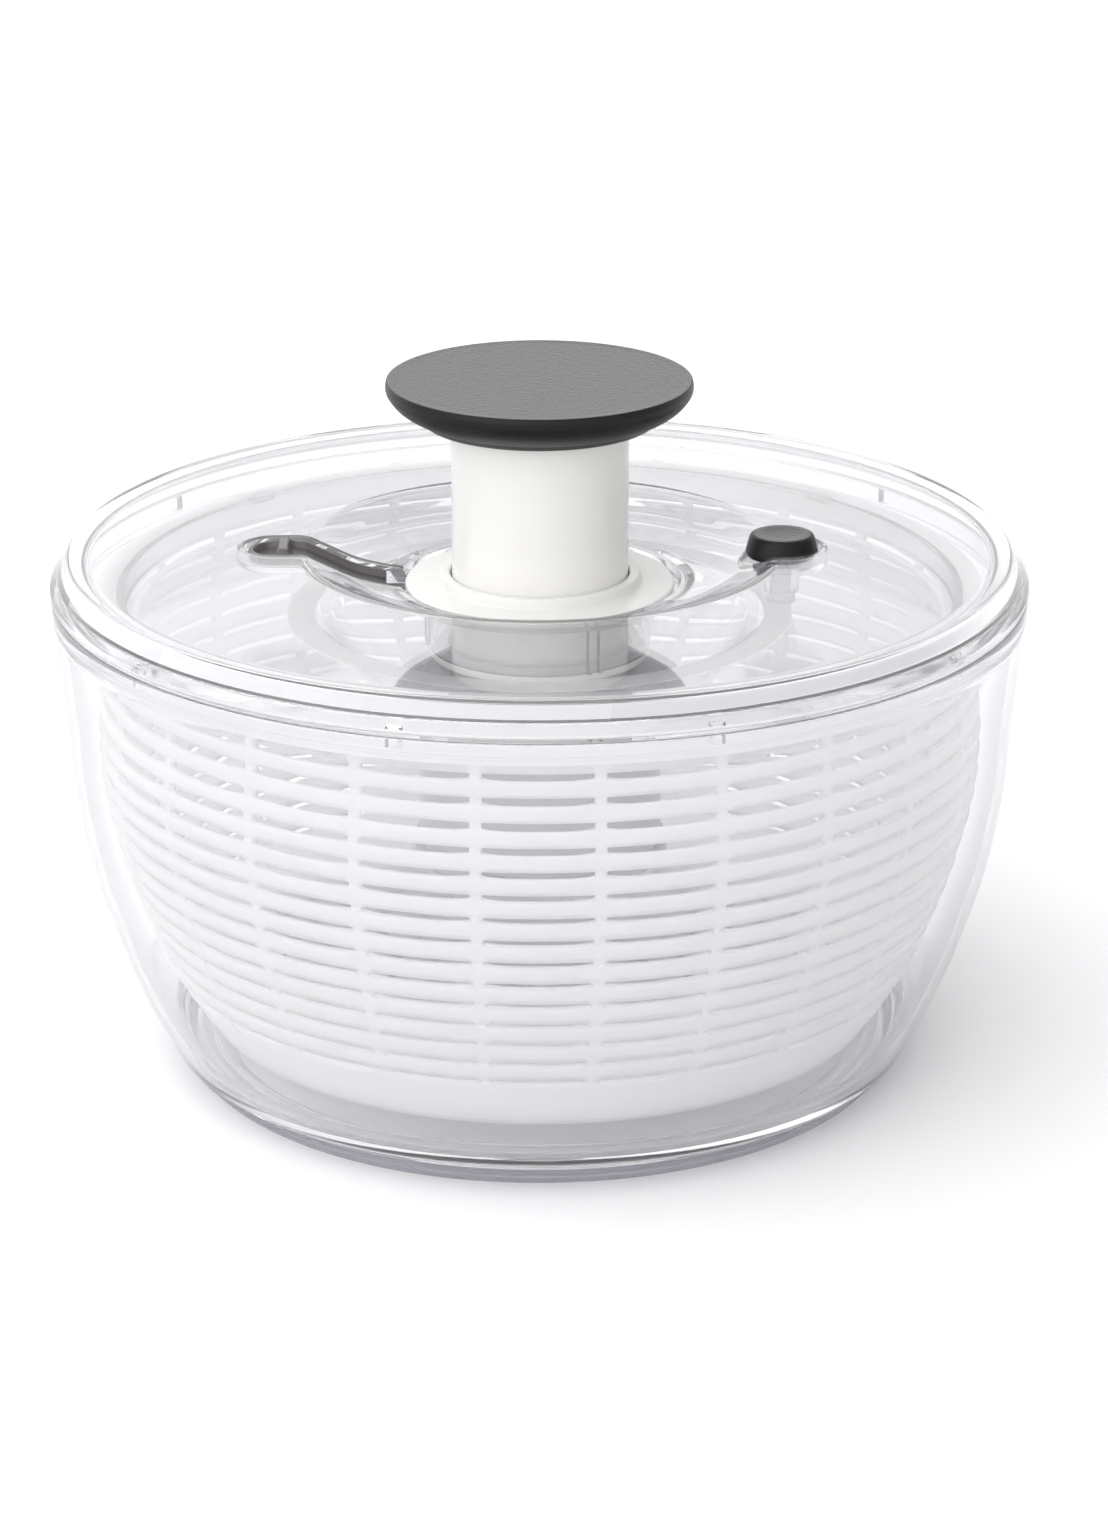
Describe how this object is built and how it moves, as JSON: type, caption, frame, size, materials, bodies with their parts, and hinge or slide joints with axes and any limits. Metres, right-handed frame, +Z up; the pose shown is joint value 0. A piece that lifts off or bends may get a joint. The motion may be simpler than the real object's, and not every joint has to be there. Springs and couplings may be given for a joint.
{
  "type": "salad spinner",
  "caption": "Pump-action salad spinner: clear bowl, translucent slotted basket and clear lid with a press knob, a brake button and a knob lock.",
  "frame": {"origin": "centre of the base, on the table", "axes": "+Z up along the spin axis; the brake button is at +X, the knob lock at -X and the front is -Y"},
  "size_m": [0.266, 0.266, 0.1914],
  "materials": {
    "clear_plastic": "clear, moulded and polished",
    "clear_rubber": "clear, soft, satin",
    "frosted_rubber": "frosted, soft",
    "translucent_plastic": "translucent white, satin",
    "milky_plastic": "translucent white",
    "white_plastic": "white, gloss",
    "acetal": "white, waxy",
    "grey_plastic": "grey, satin",
    "black_soft_plastic": "black, soft touch",
    "dark_plastic": "dark grey, satin",
    "steel": "bright drawn wire"
  },
  "bodies": {
    "bowl": {"bowl": "clear_plastic", "non_slip_ring": "clear_rubber"},
    "pivot_cup": {"pivot_cup": "acetal"},
    "basket": {"basket": "translucent_plastic"},
    "lid": {"lid_cover": "clear_plastic", "lid_ring": "clear_plastic", "collar": "white_plastic", "guide_sleeve": "clear_plastic", "bearing_ring": "acetal", "brake_spring": "steel"},
    "brake": {"brake_button": "black_soft_plastic", "brake_stem": "milky_plastic", "brake_pad": "frosted_rubber"},
    "lock": {"lock_lever": "dark_plastic"},
    "plunger": {"knob_pad": "black_soft_plastic", "knob_base": "dark_plastic", "knob_screws": "steel", "plunger_tube": "white_plastic", "drive_nut": "acetal"},
    "spindle": {"spindle": "steel", "spindle_cap": "grey_plastic", "clutch_hub": "grey_plastic", "return_spring": "steel"},
    "rotor": {"hub_drum": "grey_plastic", "turntable": "clear_plastic", "brake_ring": "frosted_rubber", "clutch_ring": "grey_plastic", "drum_cap": "grey_plastic", "cap_screws": "steel", "spindle_bush": "acetal"}
  },
  "joints": [
    {"name": "basket_lift", "type": "slide", "parent": "bowl", "child": "pivot_cup", "axis": [0, 0, 1], "range_m": [0, 0.15]},
    {"name": "basket_spin", "type": "hinge", "parent": "pivot_cup", "child": "basket", "pos_m": [0, 0, 0.015], "axis": [0, 0, 1], "continuous": true},
    {"name": "lid_lift", "type": "slide", "parent": "pivot_cup", "child": "lid", "axis": [0, 0, 1], "range_m": [0, 0.15]},
    {"name": "rotor_spin", "type": "hinge", "parent": "lid", "child": "rotor", "pos_m": [0, 0, 0.1], "axis": [0, 0, 1], "continuous": true},
    {"name": "plunger_press", "type": "slide", "parent": "lid", "child": "plunger", "axis": [0, 0, -1], "range_m": [0, 0.038], "stiffness_N_per_m": 300, "springref_m": -0.02, "deforming": ["return_spring"]},
    {"name": "spindle_turn", "type": "hinge", "parent": "lid", "child": "spindle", "pos_m": [0, 0, 0.1], "axis": [0, 0, 1], "range_deg": [0, 547.3]},
    {"name": "brake_press", "type": "slide", "parent": "lid", "child": "brake", "axis": [0, 0, -1], "range_m": [0, 0.002], "stiffness_N_per_m": 300, "springref_m": -0.002, "deforming": ["brake_spring"]},
    {"name": "lock_slide", "type": "slide", "parent": "lid", "child": "lock", "axis": [1, 0, 0], "range_m": [0, 0.0038]}
  ],
  "couplings": [
    {"joint": "rotor_spin", "follows": "basket_spin", "ratio": 1},
    {"joint": "spindle_turn", "follows": "plunger_press", "rad_per_m": 251.33}
  ]
}
